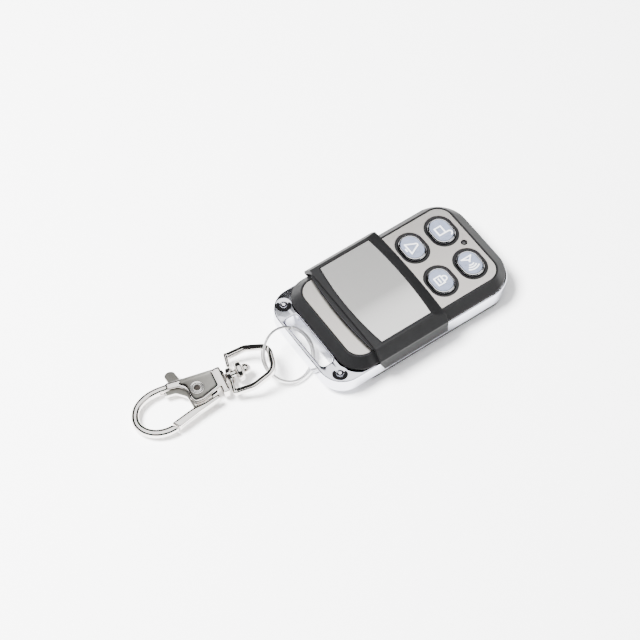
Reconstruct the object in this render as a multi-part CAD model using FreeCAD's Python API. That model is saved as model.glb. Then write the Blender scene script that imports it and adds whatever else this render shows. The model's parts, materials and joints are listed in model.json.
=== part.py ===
import FreeCAD, Part
import math
import os
from FreeCAD import Matrix, Vector

# Four-button radio remote with a sliding key cover, on a split ring and a swivel trigger clasp.
# Lengths are millimetres. +X runs along the remote to its button end, +Y to its far long side and
# +Z out of its back face. The origin is the middle of the back face, which lies on the table.

# Chrome frame
frame_length = 60.6
frame_width = 33.6
frame_corner = 8.3
tongue_corner = 6.9
frame_height = 4.9
frame_wall = 1.7
frame_edge_round = 0.45
tongue_web = 1.6
slot_bar = 1.1
slot_width = 4.1
slot_length = 18.0
slot_corner = 1.3
slot_edge_round = 0.35
dimple_radius = 1.1
dimple_depth = 0.5
dimple_from_end = 4.0
dimple_spread = 26.2

# Back cover
back_height = 2.2
back_floor = 1.0
back_inset = 0.6
back_lap = 0.25
back_edge_chamfer = 0.5
back_wall = 1.2
back_wall_height = 2.0
housing_fit = 0.15

# Upper case
tongue_length = 5.55
case_end_inset = 0.15
case_side_inset = 0.2
case_corner = 8.9
case_corner_ring_end = 6.8
groove_height = 0.7
groove_depth = 0.7
groove_end_space = 0.6
case_rise = 2.5
slope_run_ring_end = 2.55
slope_run_button_end = 3.05
slope_run_side = 2.35
case_top_corner = 4.75
case_wall = 1.35
roof_thickness = 0.8
plug_depth = 2.8

# Faceplate
plate_rim = 0.3
plate_gap = 0.25
plate_thickness = 0.4

# Buttons, two rows of two
button_end_distance = 5.35
button_pitch_x = 9.75
button_pitch_y = 13.0
well_width = 8.3
well_length = 10.7
cap_width = 6.6
cap_length = 8.6
cap_proud = 0.45
cap_guide_gap = 0.15
cap_edge_chamfer = 0.3
cap_flange_overlap = 0.35
cap_flange_thickness = 0.6
cap_flange_gap = 0.1
cap_skirt_wall = 0.8
cap_stem_radius = 1.6
face_margin = 0.62
face_depth = 0.45
face_gap = 0.04
icon_height = 0.14
icon_line = 0.42
icon_root = 0.05
padlock_low = -1.5
padlock_high = 0.5
padlock_half = 1.25
button_travel = 0.4

# Sliding cover
cover_length = 21.3
cover_from_button_end = 24.0
cover_shoulder_lead = 1.4
cover_end_bow_radius = 260.0
cover_roof_gap = 0.75
cover_roof = 1.5
cover_side_gap = 0.2
cover_skirt_overlap = 2.1
cover_skirt_wall = 0.7
cover_shoulder_drop = 3.35
cover_shoulder_round = 1.0
cover_rim_inset = 1.6
cover_rim_round = 0.45
cover_bow_radius = 103.0
cover_lip_lead = 2.65
cover_lip_thickness = 0.6
cover_lip_inset = 2.6
cover_lip_width = 1.3
cover_left_facet_run = 1.0
cover_right_facet_run = 2.7
cover_right_edge_height = 0.45
cover_travel = 20.5
rail_thickness = 0.4
rail_overlap = 0.45
rail_length = 11.0
rail_play = 0.1
rail_stop_root = 0.2
cover_plate_front = 1.4
cover_plate_back = 4.05
cover_plate_inset = 2.7
cover_plate_left_bow = 1.15
cover_plate_right_bow = 0.8
cover_plate_thickness = 0.35
cover_plate_gap = 0.22

# Battery, a 27A cell
battery_radius = 3.9
battery_switch_gap = 1.25
battery_nub_radius = 1.5
battery_nub = 0.5
battery_end_gap = 1.0
battery_side_gap = 2.1
battery_floor_gap = 0.15
cradle_thickness = 1.4
cradle_height = 1.7
cradle_inset = 6.5
cradle_reach = 3.1
contact_reach = 2.1
contact_thickness = 0.35
contact_width = 5.2
contact_gap = 0.12
contact_foot = 1.8

# Circuit board and what it carries
board_bottom = 4.6
board_thickness = 1.0
board_edge_gap = 0.25
board_battery_gap = 0.5
rest_along = (5.0, 4.0)
rest_across = (9.0, 3.0)
switch_side = 6.0
switch_height = 1.7
plunger_radius = 1.5
plunger_play = 0.1
plunger_grip = 0.8
plunger_rise = 0.3
led_radius = 0.85
led_hole_gap = 0.15
led_end_distance = 2.5
led_window_radius = 0.9
led_base_radius = 1.05
led_base_height = 0.5
led_lead_radius = 0.25
led_lead_spread = 0.9
led_lead_length = 1.8
chip_size = (8.6, 3.9, 1.5)
chip_along = 9.5
chip_across = 5.7
resonator_size = (10.8, 4.4, 3.2)
resonator_along = 13.5
resonator_battery_gap = 1.7
trimmer_radius = 2.4
trimmer_height = 1.6
trimmer_along = 25.0
trimmer_across = 11.6
antenna_width = 1.0
antenna_thickness = 0.12
antenna_inset = 0.8
antenna_end_space = 19.2

# Screws and their posts
post_from_ring_end = 3.9
post_from_button_end = 3.35
post_from_side = 3.75
post_radius = 1.5
post_hole_radius = 0.75
boss_radius = 2.1
boss_height = 2.4
post_boss_gap = 0.1
screw_shank_radius = 0.72
screw_head_radius = 1.6
screw_head_height = 1.1
screw_seat = 1.4
screw_head_gap = 0.15
screw_length = 6.0
screw_slot_width = 0.45
screw_slot_depth = 0.5
screw_slot_reach = 1.1
screw_clearance = 0.2

# Split ring
ring_radius = 7.3
ring_wire = 0.7
ring_turn_gap = 0.42
ring_jog_angle = 102.0
ring_jog_half_span = 45.0
ring_end_length = 0.7
ring_beyond_frame = 3.187
ring_side = 0.597
ring_rise = 5.11
ring_lean_x = 0.1459
ring_lean_y = -0.7014

# Swivel bail, the D-shaped link
bail_on_pin = 9.763
bail_lift = 0.026
bail_yaw = -21.06
bail_pitch = 19.05
bail_reach = 11.85
bail_half_width = 5.68
bail_bar_width = 1.6
bail_bar_height = 1.9
bail_bar_round = 0.5
bail_base_thickness = 1.1
bail_base_height = 2.4
bail_base_overhang = 0.8
bail_hole_radius = 1.45
bail_boss_radius = 2.2
bail_boss_rise = 0.3
bail_straight = 5.42
bail_spread = 0.33
bail_bow_half = 3.72
bail_corner_round = 3.2

# Trigger clasp
clasp_beyond_ring = 25.053
clasp_side = 6.36
clasp_rise = 2.75
clasp_yaw = -11.0
clasp_pitch = 3.0
clasp_thickness = 3.2
clasp_edge_round = 0.4
face_recess = 0.25
recess_end = 5.1
plate_end = 6.0
hook_width = 2.3
hook_height = 2.2
hook_root_width = 1.9
hook_root_height = 3.0
hook_round = 1.0
hook_root_round = 0.85
gate_edge_round = 0.5
lever_thickness = 1.3
lever_side_gap = 0.1
gate_height = 2.8
gate_tip_gap = 0.36
hook_slit = (-9.3, -0.3, -6.0, 7.0)
lever_slit = (-1.0, 4.6, -6.0, 3.1)
joint_inner = (-13.85, -2.1)
joint_outer = (-8.0, -10.1)
rivet_radius = 1.2
rivet_fit = 0.05
rivet_head_radius = 2.0
rivet_head_height = 0.25
rivet_hole_radius = 0.85
rivet_rim_radius = 1.15
swivel_side = 0.548
pin_radius = 0.9
pin_start = 4.3
pin_shoulder_radius = 2.2
pin_shoulder = 0.3
pin_disc_start = 11.2
pin_disc_radius = 2.8
pin_disc_thickness = 1.9
pin_disc_chamfer = 0.4
pin_ball_radius = 1.6
pin_neck_radius = 0.7
pin_ball_at = 13.9
collar_start = 5.7
collar_end = 7.7
collar_low = -4.6
collar_high = 3.6
spring_wire = 0.3
spring_radius = 1.65
spring_pocket_radius = 2.05
spring_opening = 70.0

# Extra length by which cutting bodies overshoot a face
spare = 1.0

# Heights that follow from the sizes above
frame_bottom = back_height
frame_top = frame_bottom + frame_height
case_base = frame_top + groove_height
case_top = case_base + case_rise
plate_bottom = case_top - plate_thickness
roof_bottom = plate_bottom - roof_thickness
plug_bottom = frame_top - plug_depth
board_top = board_bottom + board_thickness
cap_top = case_top + cap_proud
cap_flange_top = roof_bottom - cap_flange_gap
cap_flange_bottom = cap_flange_top - cap_flange_thickness
switch_top = board_top + switch_height
plunger_top = switch_top + button_travel + plunger_rise
cover_bottom = case_top + cover_roof_gap
cover_top = cover_bottom + cover_roof
cover_shoulder = cover_top - cover_shoulder_drop
cover_skirt_bottom = frame_top - cover_skirt_overlap
cover_plate_bottom = cover_top - cover_plate_thickness

# Places that follow from the sizes above
half_length = frame_length / 2
half_width = frame_width / 2
slot_outer_x = slot_bar - half_length
slot_inner_x = slot_outer_x + slot_width
dimple_x = dimple_from_end - half_length
case_x0 = tongue_length - half_length
case_x1 = half_length - case_end_inset
case_y = half_width - case_side_inset
top_x0 = case_x0 + slope_run_ring_end
top_x1 = case_x1 - slope_run_button_end
top_y = case_y - slope_run_side
plate_inset = plate_rim + plate_gap
plate_x0 = top_x0 + plate_inset
plate_x1 = top_x1 - plate_inset
plate_y = top_y - plate_inset
opening_x0 = slot_inner_x + tongue_web
opening_x1 = half_length - frame_wall
opening_y = half_width - frame_wall
opening_corner = frame_corner - frame_wall
cavity_x0 = opening_x0 + housing_fit + case_wall
cavity_x1 = opening_x1 - housing_fit - case_wall
cavity_y = opening_y - housing_fit - case_wall
cavity_corner = opening_corner - housing_fit - case_wall
button_places = [
    (plate_x1 - button_end_distance - column * button_pitch_x, side * button_pitch_y / 2)
    for side in (1, -1)
    for column in (0, 1)
]
led_x = plate_x1 - led_end_distance
cover_end = half_length - cover_from_button_end
cover_skirt_start = cover_end - cover_length
cover_shoulder_start = cover_skirt_start - cover_shoulder_lead
cover_lip_start = cover_skirt_start - cover_lip_lead
cover_outer_half_width = half_width + cover_side_gap + cover_skirt_wall
cover_rim_half_width = half_width - cover_rim_inset
cover_lip_half_width = half_width - cover_lip_inset
cover_plate_start = cover_skirt_start + cover_plate_front
cover_plate_end = cover_end - cover_plate_back
cover_plate_half_width = half_width - cover_plate_inset
battery_y = battery_side_gap + battery_radius - cavity_y
battery_start = cavity_x0 + battery_end_gap
battery_end = button_places[1][0] - switch_side / 2 - battery_switch_gap
battery_length = battery_end - battery_start
post_ring_x = opening_x0 + post_from_ring_end
post_button_x = opening_x1 - post_from_button_end
post_y = opening_y - post_from_side
post_places = ((post_ring_x, post_y), (post_button_x, post_y), (post_button_x, -post_y))
chip_place = (cavity_x0 + chip_along, cavity_y - chip_across)
resonator_y = battery_y + battery_radius + resonator_battery_gap + resonator_size[1] / 2
resonator_place = (cavity_x0 + resonator_along, resonator_y)
trimmer_place = (cavity_x0 + trimmer_along, cavity_y - trimmer_across)
ring_centre = (-half_length - ring_beyond_frame, ring_side, ring_rise)
clasp_origin = (ring_centre[0] - clasp_beyond_ring, clasp_side, clasp_rise)
battery_z = back_floor + battery_floor_gap + battery_radius


def biarc_edges(start, start_way, end, end_way):
    """Two tangent arcs from one point and direction to another point and direction."""
    start_way = Vector(start_way).normalize()
    end_way = Vector(end_way).normalize()
    across = end - start
    both = start_way + end_way
    spread = 2 * (1 - start_way.dot(end_way))
    lean = across.dot(both)
    if spread < 1e-9:
        return [Part.LineSegment(start, end).toShape()]
    reach = (math.sqrt(lean * lean + spread * across.dot(across)) - lean) / spread
    first = start + start_way * reach
    second = end - end_way * reach
    middle = (first + second) * 0.5
    return [tangent_arc(start, first, middle), tangent_arc(middle, second, end)]


def tangent_arc(start, corner, end):
    """Arc from start to end that is tangent to the lines through the corner."""
    chord_middle = (start + end) * 0.5
    half_chord = (end - start).Length / 2
    rise = (corner - chord_middle).Length
    if rise < 1e-6:
        return Part.LineSegment(start, end).toShape()
    turn = math.atan2(rise, half_chord)
    bulge = half_chord * math.tan(turn / 2)
    top = chord_middle + (corner - chord_middle) * (bulge / rise)
    return Part.Arc(start, top, end).toShape()


def smooth_path(stations):
    """Wire of tangent arcs through points that each have a direction."""
    edges = []
    for (start, start_way), (end, end_way) in zip(stations, stations[1:]):
        edges += biarc_edges(start, start_way, end, end_way)
    return Part.Wire(edges)


def rounded_polygon(corners, closed=True):
    """Wire of straight runs through (point, radius) corners, each rounded by its radius."""
    count = len(corners)
    runs = []
    for index, (point, radius) in enumerate(corners):
        if radius <= 0 or (not closed and index in (0, count - 1)):
            runs.append((point, point, None))
            continue
        before = (corners[index - 1][0] - point).normalize()
        after = (corners[(index + 1) % count][0] - point).normalize()
        half_angle = before.getAngle(after) / 2
        cut = radius / math.tan(half_angle)
        runs.append((point + before * cut, point + after * cut, point))
    edges = []
    for index, (arrive, leave, corner) in enumerate(runs):
        if corner is not None:
            edges.append(tangent_arc(arrive, corner, leave))
        if index == count - 1 and not closed:
            break
        following = runs[(index + 1) % count][0]
        if (following - leave).Length > 1e-6:
            edges.append(Part.LineSegment(leave, following).toShape())
    return Part.Wire(edges)


def flat_outline(points, z=0.0, radius=0.0):
    """Closed outline at one height; a point may bring its own corner radius as a third value."""
    corners = []
    for point in points:
        corner_radius = point[2] if len(point) > 2 else radius
        corners.append((Vector(point[0], point[1], z), corner_radius))
    return rounded_polygon(corners)


def rounded_rectangle(x0, x1, y0, y1, radius, z):
    return flat_outline([(x0, y0), (x1, y0), (x1, y1), (x0, y1)], z, radius)


def housing_outline(x0, x1, half, radius, z, ring_end_radius=None):
    """Rounded outline about the long axis; its ring end may have a radius of its own."""
    left = radius if ring_end_radius is None else ring_end_radius
    return flat_outline([(x0, -half, left), (x1, -half, radius), (x1, half, radius), (x0, half, left)], z)


def prism(outline, height):
    """Solid that stands on a flat outline."""
    return Part.Face(outline).extrude(Vector(0, 0, height))


def stadium(centre, width, length, z):
    """Outline with straight long sides and half-round ends, its length along Y."""
    x, y = centre
    radius = width / 2
    straight = length / 2 - radius
    right_low = Vector(x + radius, y - straight, z)
    right_high = Vector(x + radius, y + straight, z)
    left_high = Vector(x - radius, y + straight, z)
    left_low = Vector(x - radius, y - straight, z)
    far_end = Vector(x, y + straight + radius, z)
    near_end = Vector(x, y - straight - radius, z)
    return Part.Wire([
        Part.LineSegment(right_low, right_high).toShape(),
        Part.Arc(right_high, far_end, left_high).toShape(),
        Part.LineSegment(left_high, left_low).toShape(),
        Part.Arc(left_low, near_end, right_low).toShape(),
    ])


def edges_at_height(shape, z, reach=None):
    """Edges that lie flat at a height, all of them or those that touch the outermost length."""
    found = []
    for edge in shape.Edges:
        box = edge.BoundBox
        if abs(box.ZMin - z) > 1e-4 or abs(box.ZMax - z) > 1e-4:
            continue
        if reach is None or reach(edge):
            found.append(edge)
    return found


def on_outline(half_x, half_y, ring_end_corner, button_end_corner):
    """Test for edges on a centred outline with one corner radius at each end."""
    def test(edge):
        middle = edge.valueAt((edge.FirstParameter + edge.LastParameter) / 2)
        x, y = abs(middle.x), abs(middle.y)
        corner = ring_end_corner if middle.x < 0 else button_end_corner
        if x > half_x - corner and y > half_y - corner:
            away = math.hypot(x - half_x + corner, y - half_y + corner)
            return abs(away - corner) < 0.01
        return abs(x - half_x) < 0.01 or abs(y - half_y) < 0.01
    return test


def box_between(x0, x1, y0, y1, z0, z1):
    return Part.makeBox(x1 - x0, y1 - y0, z1 - z0, Vector(x0, y0, z0))


def upright_cylinder(x, y, z0, z1, radius):
    return Part.makeCylinder(radius, z1 - z0, Vector(x, y, z0))


def placed(shape, origin, yaw, pitch):
    """Shape moved from its own frame: turned by yaw about +Z, its +X raised by pitch."""
    yaw_angle = math.radians(yaw)
    pitch_angle = math.radians(pitch)
    forward = Vector(
        math.cos(yaw_angle) * math.cos(pitch_angle),
        math.sin(yaw_angle) * math.cos(pitch_angle),
        math.sin(pitch_angle),
    )
    left = Vector(-math.sin(yaw_angle), math.cos(yaw_angle), 0)
    up = forward.cross(left)
    turned = Matrix(
        forward.x, left.x, up.x, origin[0],
        forward.y, left.y, up.y, origin[1],
        forward.z, left.z, up.z, origin[2],
        0, 0, 0, 1,
    )
    moved = shape.copy()
    moved.Placement = FreeCAD.Placement(turned)
    return moved


def build_chrome_frame():
    outline = housing_outline(-half_length, half_length, half_width, frame_corner, frame_bottom, tongue_corner)
    body = prism(outline, frame_height)
    outer = on_outline(half_length, half_width, tongue_corner, frame_corner)
    rounded = edges_at_height(body, frame_top, outer) + edges_at_height(body, frame_bottom, outer)
    body = body.makeFillet(frame_edge_round, rounded)
    opening = housing_outline(opening_x0, opening_x1, opening_y, opening_corner, frame_bottom)
    body = body.cut(prism(opening, frame_height))
    slot_y = slot_length / 2
    slot = rounded_rectangle(slot_outer_x, slot_inner_x, -slot_y, slot_y, slot_corner, frame_bottom)
    body = body.cut(prism(slot, frame_height))

    def on_slot(edge):
        box = edge.BoundBox
        inside_x = slot_outer_x - 0.01 < box.XMin and box.XMax < slot_inner_x + 0.01
        return inside_x and abs(box.YMin) < slot_y + 0.01 and abs(box.YMax) < slot_y + 0.01

    slot_edges = edges_at_height(body, frame_top, on_slot) + edges_at_height(body, frame_bottom, on_slot)
    body = body.makeFillet(slot_edge_round, slot_edges)
    ball_radius = (dimple_radius ** 2 + dimple_depth ** 2) / (2 * dimple_depth)
    for side in (1, -1):
        centre = Vector(dimple_x, side * dimple_spread / 2, frame_top + ball_radius - dimple_depth)
        body = body.cut(Part.makeSphere(ball_radius, centre))
    return body


def opening_outline(inset, z):
    """Outline of the frame's opening, drawn in by a distance."""
    corner = opening_corner - inset
    return housing_outline(opening_x0 + inset, opening_x1 - inset, opening_y - inset, corner, z)


def build_back_cover():
    x0 = opening_x0 - back_lap
    corner = frame_corner - back_inset
    outline = housing_outline(x0, half_length - back_inset, half_width - back_inset, corner, 0)
    body = prism(outline, back_height)
    body = body.makeChamfer(back_edge_chamfer, edges_at_height(body, 0))
    fit = housing_fit
    wall_top = back_height + back_wall_height
    body = body.fuse(prism(opening_outline(fit, back_height), back_wall_height))
    body = body.cut(prism(opening_outline(fit + back_wall, back_floor), wall_top - back_floor))
    within = opening_outline(fit, 0)
    for x, y in post_places:
        boss = upright_cylinder(x, y, 0, back_floor + boss_height, boss_radius)
        post_room = post_radius + post_boss_gap
        body = body.cut(upright_cylinder(x, y, back_floor + boss_height, wall_top, post_room))
        body = body.fuse(boss.common(prism(within, wall_top)))
    for x, y in board_rest_places():
        body = body.fuse(upright_cylinder(x, y, back_floor, board_bottom, cradle_thickness / 2))
    for x in (battery_start + cradle_inset, battery_end - cradle_inset):
        rib = box_between(
            x - cradle_thickness / 2, x + cradle_thickness / 2,
            battery_y - cradle_reach, battery_y + cradle_reach,
            back_floor, back_floor + cradle_height,
        )
        body = body.fuse(rib)
    cell_start = Vector(battery_start, battery_y, battery_z)
    cell_radius = battery_radius + battery_floor_gap / 2
    body = body.cut(Part.makeCylinder(cell_radius, battery_length, cell_start, Vector(1, 0, 0)))
    for x, y in post_places:
        shank_room = post_hole_radius + screw_clearance
        body = body.cut(upright_cylinder(x, y, 0, back_floor + boss_height, shank_room))
        body = body.cut(upright_cylinder(x, y, 0, screw_seat, screw_head_radius + screw_head_gap))
    return body.removeSplitter()


def board_rest_places():
    """Where small posts of the back cover hold the circuit board."""
    return (
        (battery_start + rest_along[0], cavity_y - rest_across[0]),
        (battery_end - rest_along[1], cavity_y - rest_across[1]),
        (button_places[0][0] - button_pitch_x / 2, 0.0),
    )


def case_outline(inset, z):
    """Outline of the upper case at its widest, drawn in by a distance."""
    corner = case_corner - inset
    ring_end = case_corner_ring_end - inset
    return housing_outline(case_x0 + inset, case_x1 - inset, case_y - inset, corner, z, ring_end)


def build_upper_case():
    neck = case_outline(groove_depth, frame_top)
    body = prism(neck, groove_height)
    base = case_outline(0, case_base)
    top = housing_outline(top_x0, top_x1, top_y, case_top_corner, case_top)
    body = body.fuse(Part.makeLoft([base, top], True, True))
    body = body.fuse(prism(opening_outline(housing_fit, plug_bottom), frame_top - plug_bottom))
    seat_corner = case_top_corner - plate_rim
    seat = housing_outline(
        plate_x0 - plate_gap, plate_x1 + plate_gap, plate_y + plate_gap, seat_corner, plate_bottom
    )
    body = body.cut(prism(seat, plate_thickness))
    cavity = housing_outline(cavity_x0, cavity_x1, cavity_y, cavity_corner, plug_bottom)
    body = body.cut(prism(cavity, roof_bottom - plug_bottom))
    for place in button_places:
        hole = stadium(place, cap_width + 2 * cap_guide_gap, cap_length + 2 * cap_guide_gap, roof_bottom)
        body = body.cut(prism(hole, roof_thickness))
    body = body.cut(upright_cylinder(led_x, 0, roof_bottom, plate_bottom, led_radius + led_hole_gap))
    post_bottom = back_floor + boss_height + post_boss_gap
    for x, y in post_places:
        body = body.fuse(upright_cylinder(x, y, post_bottom, roof_bottom, post_radius))
    for x, y in post_places:
        body = body.cut(upright_cylinder(x, y, post_bottom, roof_bottom - roof_thickness, post_hole_radius))
    for side in (1, -1):
        body = body.fuse(rail_stop(side, groove_start() - groove_end_space))
        body = body.fuse(rail_stop(side, groove_start() + rail_length + cover_travel + 2 * rail_play))
    return body.removeSplitter()


def groove_start():
    """Where the rail's room in the groove begins, just before the rail of the open cover."""
    return rail_start() - rail_play


def rail_start():
    """The rail is centred along the cover's skirts."""
    return (cover_skirt_start + cover_end - rail_length) / 2


def rail_stop(side, x):
    """Small block that closes the groove where the sliding cover has to stop."""
    inner = case_y - groove_depth
    y0, y1 = sorted((side * (inner - rail_stop_root), side * case_y))
    return box_between(x, x + groove_end_space, y0, y1, frame_top, case_base)


def build_faceplate():
    outline = housing_outline(plate_x0, plate_x1, plate_y, case_top_corner - plate_inset, plate_bottom)
    plate = prism(outline, plate_thickness)
    for place in button_places:
        plate = plate.cut(prism(stadium(place, well_width, well_length, plate_bottom), plate_thickness))
    return plate.cut(upright_cylinder(led_x, 0, plate_bottom, case_top, led_window_radius))


def build_button_cap(place):
    x, y = place
    body = prism(stadium(place, cap_width, cap_length, cap_flange_bottom), cap_top - cap_flange_bottom)
    body = body.makeChamfer(cap_edge_chamfer, edges_at_height(body, cap_top))
    over = 2 * (cap_guide_gap + cap_flange_overlap)
    flange = stadium(place, cap_width + over, cap_length + over, cap_flange_bottom)
    body = body.fuse(prism(flange, cap_flange_thickness))
    pocket_width = cap_width - 2 * face_margin
    pocket_length = cap_length - 2 * face_margin
    body = body.cut(prism(stadium(place, pocket_width, pocket_length, cap_top - face_depth), face_depth))
    hollow_top = cap_top - face_depth - cap_skirt_wall
    hollow = stadium(place, cap_width - 2 * cap_skirt_wall, cap_length - 2 * cap_skirt_wall, cap_flange_bottom)
    body = body.cut(prism(hollow, hollow_top - cap_flange_bottom))
    return body.fuse(upright_cylinder(x, y, plunger_top, hollow_top, cap_stem_radius)).removeSplitter()


def build_button_face(place, icon):
    bottom = cap_top - face_depth
    margin = 2 * (face_margin + face_gap)
    face = prism(stadium(place, cap_width - margin, cap_length - margin, bottom), face_depth - icon_root)
    for mark in icon():
        raised = mark.copy()
        raised.translate(Vector(place[0], place[1], cap_top - icon_root))
        face = face.fuse(raised)
    return face.removeSplitter()


def icon_bar(x0, y0, x1, y1, width=None):
    """Raised straight line of an icon, drawn about the button's centre."""
    half = (width or icon_line) / 2
    start = Vector(x0, y0, 0)
    end = Vector(x1, y1, 0)
    along = (end - start).normalize()
    side = Vector(-along.y, along.x, 0) * half
    start = start - along * half
    end = end + along * half
    outline = Part.makePolygon([start - side, end - side, end + side, start + side, start - side])
    return Part.Face(outline).extrude(Vector(0, 0, icon_height))


def icon_arc(x, y, radius, first, last):
    """Raised round line of an icon between two angles."""
    middle = Vector(x, y, 0)
    axis = Vector(0, 0, 1)
    ring = Part.makeCylinder(radius + icon_line / 2, icon_height, middle, axis, last - first)
    ring = ring.cut(Part.makeCylinder(radius - icon_line / 2, icon_height, middle))
    ring.rotate(middle, axis, first)
    return ring


def padlock_body():
    """Four bars of a padlock's body; its top lies towards +X."""
    low = padlock_low
    high = padlock_high
    half = padlock_half
    return [
        icon_bar(low, -half, low, half),
        icon_bar(high, -half, high, half),
        icon_bar(low, -half, high, -half),
        icon_bar(low, half, high, half),
    ]


def open_padlock_icon():
    shackle = [icon_bar(padlock_high, -padlock_half, 1.5, -padlock_half), icon_arc(1.35, -1.95, 0.7, -90, 90)]
    return padlock_body() + shackle


def closed_padlock_icon():
    legs = [icon_bar(padlock_high, side, 1.0, side) for side in (-0.75, 0.75)]
    return padlock_body() + legs + [icon_arc(1.0, 0, 0.75, -90, 90), icon_bar(-0.5, -0.6, -0.5, 0.6)]


def bell_icon():
    left = icon_bar(-1.35, 1.7, 1.2, 0.45)
    right = icon_bar(-1.35, -1.7, 1.2, -0.45)
    mouth = icon_bar(-1.35, 1.7, -1.35, -1.7)
    clapper = icon_bar(-2.0, 0.35, -2.0, -0.35)
    return [left, right, icon_arc(1.15, 0, 0.5, -90, 90), mouth, clapper]


def horn_icon():
    bars = [icon_bar(-1.5, 1.9, 0.1, 0.95), icon_bar(1.5, 1.9, 0.6, 0.95), icon_bar(-1.5, 1.9, 1.5, 1.9)]
    bars += [icon_bar(0.1, 0.95, 0.1, 0.35), icon_bar(0.6, 0.95, 0.1, 0.35)]
    return bars + [icon_arc(0, 0.4, radius, -130, -50) for radius in (1.2, 1.95, 2.7)]


def cover_profile(outer):
    """Cross-section of the cover, its outside or its inside, in the plane across the remote."""
    wall = 0 if outer else cover_skirt_wall
    side = cover_outer_half_width - wall
    bottom = cover_skirt_bottom if outer else cover_skirt_bottom - spare
    shoulder = cover_shoulder - wall / 2
    rim = cover_rim_half_width - wall / 2
    top = cover_top if outer else cover_bottom
    shoulder_round = cover_shoulder_round if outer else cover_shoulder_round / 2
    half = [(side, bottom, 0), (side, shoulder, shoulder_round), (rim, top, cover_rim_round)]
    corners = [(Vector(0, y, z), radius) for y, z, radius in half]
    corners += [(Vector(0, -y, z), radius) for y, z, radius in reversed(half)]
    return rounded_polygon(corners)


def build_slide_cover():
    x0 = cover_lip_start - spare
    x1 = cover_end + spare
    length = x1 - x0
    shell = Part.Face(cover_profile(True)).extrude(Vector(length, 0, 0))
    shell = shell.cut(Part.Face(cover_profile(False)).extrude(Vector(length, 0, 0)))
    shell.translate(Vector(x0, 0, 0))
    lip_top = cover_bottom + cover_lip_thickness
    bow_x = cover_lip_start + cover_bow_radius
    lip_disc = upright_cylinder(bow_x, 0, cover_bottom, lip_top, cover_bow_radius)
    facet_low = cover_bow_radius - cover_lip_width
    facet_high = facet_low - cover_left_facet_run
    facet = Part.makeCone(facet_low, facet_high, cover_top - lip_top, Vector(bow_x, 0, lip_top))
    lip_zone = box_between(x0, x1, -cover_lip_half_width, cover_lip_half_width, cover_bottom, cover_top)
    side_view = Part.makePolygon([
        Vector(cover_skirt_start, -half_length, cover_skirt_bottom - spare),
        Vector(x1, -half_length, cover_skirt_bottom - spare),
        Vector(x1, -half_length, cover_top),
        Vector(cover_shoulder_start, -half_length, cover_top),
        Vector(cover_shoulder_start, -half_length, cover_shoulder - cover_shoulder_round),
        Vector(cover_skirt_start, -half_length, cover_skirt_bottom),
        Vector(cover_skirt_start, -half_length, cover_skirt_bottom - spare),
    ])
    ends = Part.Face(side_view).extrude(Vector(0, frame_length, 0))
    shell = shell.common(ends.fuse(lip_disc.fuse(facet).common(lip_zone)))
    end_disc = upright_cylinder(cover_end - cover_end_bow_radius, 0, 0, cover_top, cover_end_bow_radius)
    shell = shell.common(end_disc)
    edge_top = cover_bottom + cover_right_edge_height
    right_x = cover_end - cover_bow_radius
    keep_low = upright_cylinder(right_x, 0, 0, edge_top, cover_bow_radius + spare)
    slope_height = cover_top - edge_top
    keep_high = Part.makeCone(
        cover_bow_radius, cover_bow_radius - cover_right_facet_run, slope_height, Vector(right_x, 0, edge_top)
    )
    shell = shell.common(keep_low.fuse(keep_high))
    shell = shell.cut(prism(cover_plate_outline(cover_plate_gap, cover_plate_bottom), cover_roof))
    rail_z = frame_top + (groove_height - rail_thickness) / 2
    inner = cover_outer_half_width - cover_skirt_wall
    reach = half_width - rail_overlap
    for side in (1, -1):
        y0, y1 = sorted((side * reach, side * (inner + cover_skirt_wall / 2)))
        rail = box_between(rail_start(), rail_start() + rail_length, y0, y1, rail_z, rail_z + rail_thickness)
        shell = shell.fuse(rail)
    return shell.removeSplitter()


def cover_plate_outline(margin, z):
    """Outline of the cover's metal plate, both ends bowed outward."""
    x0 = cover_plate_start - margin
    x1 = cover_plate_end + margin
    y = cover_plate_half_width + margin
    left_bow = Vector(x0 - cover_plate_left_bow, 0, z)
    right_bow = Vector(x1 + cover_plate_right_bow, 0, z)
    return Part.Wire([
        Part.LineSegment(Vector(x0, -y, z), Vector(x1, -y, z)).toShape(),
        Part.Arc(Vector(x1, -y, z), right_bow, Vector(x1, y, z)).toShape(),
        Part.LineSegment(Vector(x1, y, z), Vector(x0, y, z)).toShape(),
        Part.Arc(Vector(x0, y, z), left_bow, Vector(x0, -y, z)).toShape(),
    ])


def build_cover_plate():
    return prism(cover_plate_outline(0, cover_plate_bottom), cover_plate_thickness)


def build_battery():
    start = Vector(battery_start, battery_y, battery_z)
    can = Part.makeCylinder(battery_radius, battery_length - battery_nub, start, Vector(1, 0, 0))
    nub_start = Vector(battery_end - battery_nub, battery_y, battery_z)
    return can.fuse(Part.makeCylinder(battery_nub_radius, battery_nub, nub_start, Vector(1, 0, 0)))


def battery_contact(x):
    """Leaf across one end of the cell, with a foot on the circuit board."""
    half = contact_width / 2
    low = battery_z - contact_reach
    high = battery_z + contact_reach
    leaf = box_between(x, x + contact_thickness, battery_y - half, battery_y + half, low, high)
    edge = board_notch_y()
    foot = box_between(x, x + contact_thickness, battery_y, edge + contact_foot, board_top, high)
    return leaf.fuse(foot).removeSplitter()


def board_notch_y():
    return battery_y + battery_radius + board_battery_gap


def build_circuit_board():
    gap = board_edge_gap
    outline = housing_outline(cavity_x0 + gap, cavity_x1 - gap, cavity_y - gap, cavity_corner - gap, board_bottom)
    board = prism(outline, board_thickness)
    notch_end = battery_end + contact_gap + contact_thickness + board_battery_gap / 2
    board = board.cut(box_between(cavity_x0, notch_end, -cavity_y, board_notch_y(), board_bottom, board_top))
    for x, y in post_places:
        board = board.cut(upright_cylinder(x, y, board_bottom, board_top, post_radius + board_edge_gap))
    return board


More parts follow.
